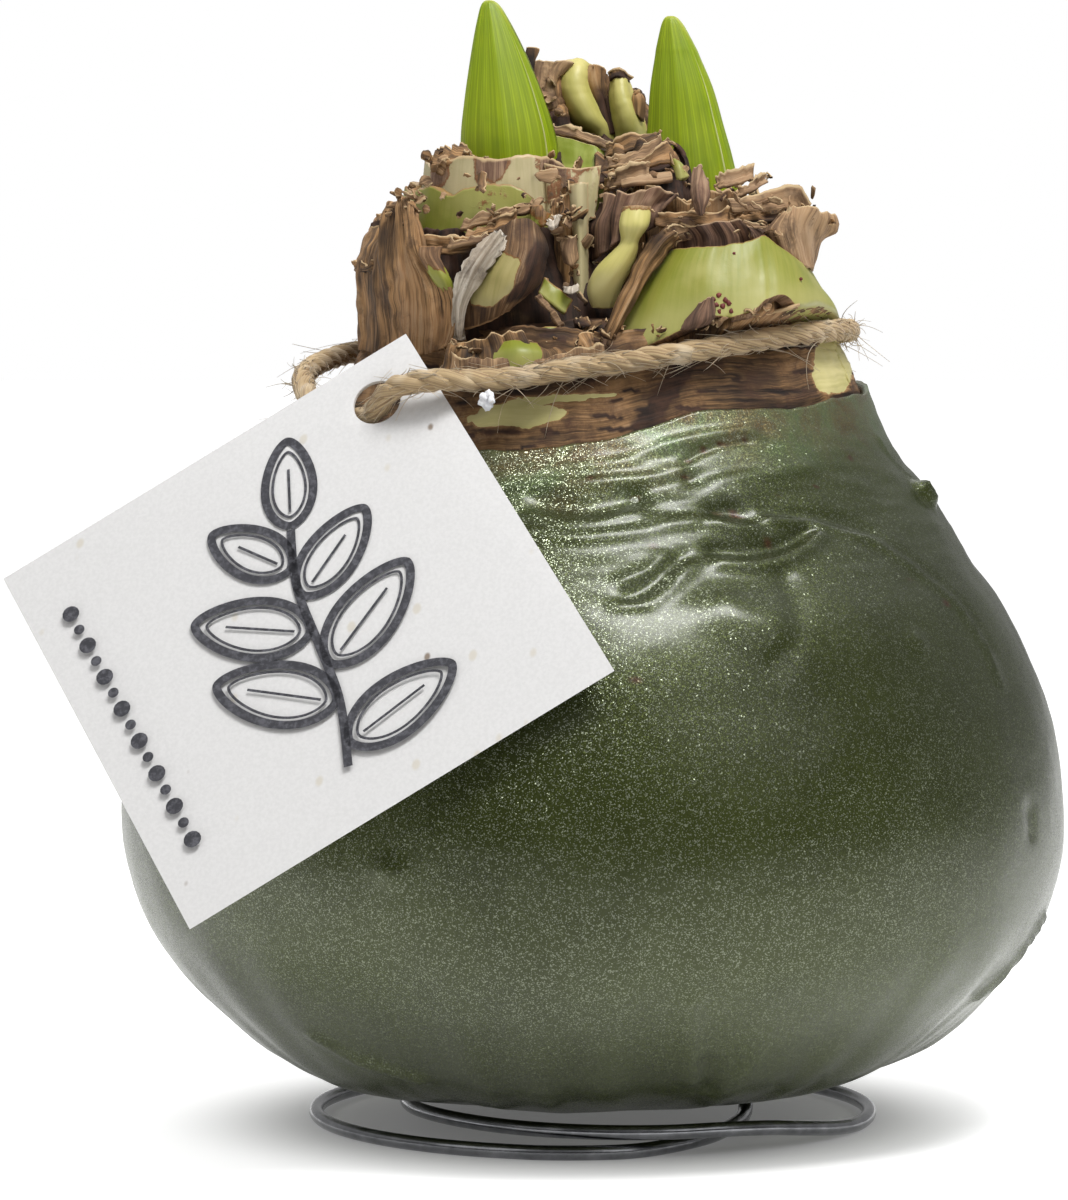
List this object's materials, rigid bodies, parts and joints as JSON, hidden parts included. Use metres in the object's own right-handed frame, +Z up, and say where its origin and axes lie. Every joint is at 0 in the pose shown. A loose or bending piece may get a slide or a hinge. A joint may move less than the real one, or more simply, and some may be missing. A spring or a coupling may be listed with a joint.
{
  "type": "waxed amaryllis bulb",
  "caption": "Flowering bulb dipped in metallic green wax, with cut neck and green shoots, a card tag on twine, standing on a coil of steel wire.",
  "frame": {"origin": "the floor, under the middle of the bulb's widest outline", "axes": "+Z up along the bulb to its shoots, -Y the side with the tag's face, +X to the right seen from there"},
  "size_m": [0.1151, 0.1055, 0.1236],
  "materials": {
    "wire": "drawn bright steel wire",
    "wax": "dipped wax with metallic olive green glitter",
    "bulb_flesh": "fleshy pale green leaf base, brown where dry",
    "dry_tunic": "dry brown papery tunic",
    "shoot": "smooth lime green leaf",
    "twine": "twisted jute",
    "card": null
  },
  "bodies": {
    "root": {"wire_stand": "wire", "wax_coat": "wax", "bulb": "bulb_flesh", "sprout_left": "shoot", "sprout_right": "shoot", "leaf_base_left_inner": "bulb_flesh", "leaf_base_left_outer": "bulb_flesh", "leaf_base_left_dry": "dry_tunic", "tunic_left": "dry_tunic", "tunic_curl": "dry_tunic", "leaf_base_right_fleshy": "bulb_flesh", "leaf_base_right_purple": "dry_tunic", "leaf_base_right_dry_1": "dry_tunic", "leaf_base_right_dry_2": "dry_tunic", "leaf_base_right_dry_3": "dry_tunic", "tunic_right_tip": "dry_tunic", "tunic_right": "dry_tunic", "dry_wrap_back": "dry_tunic", "leaf_base_back_left": "bulb_flesh", "leaf_base_back_right": "bulb_flesh", "tunic_back": "dry_tunic", "leaf_base_front": "bulb_flesh", "neck_tunic_front": "dry_tunic", "neck_tunic_left": "dry_tunic", "neck_tunic_right": "dry_tunic", "leaf_base_cleft": "bulb_flesh", "tongue_left": "bulb_flesh", "tongue_right": "bulb_flesh", "twine": "twine", "twine_knot": "twine", "tag": "card"}
  },
  "joints": []
}
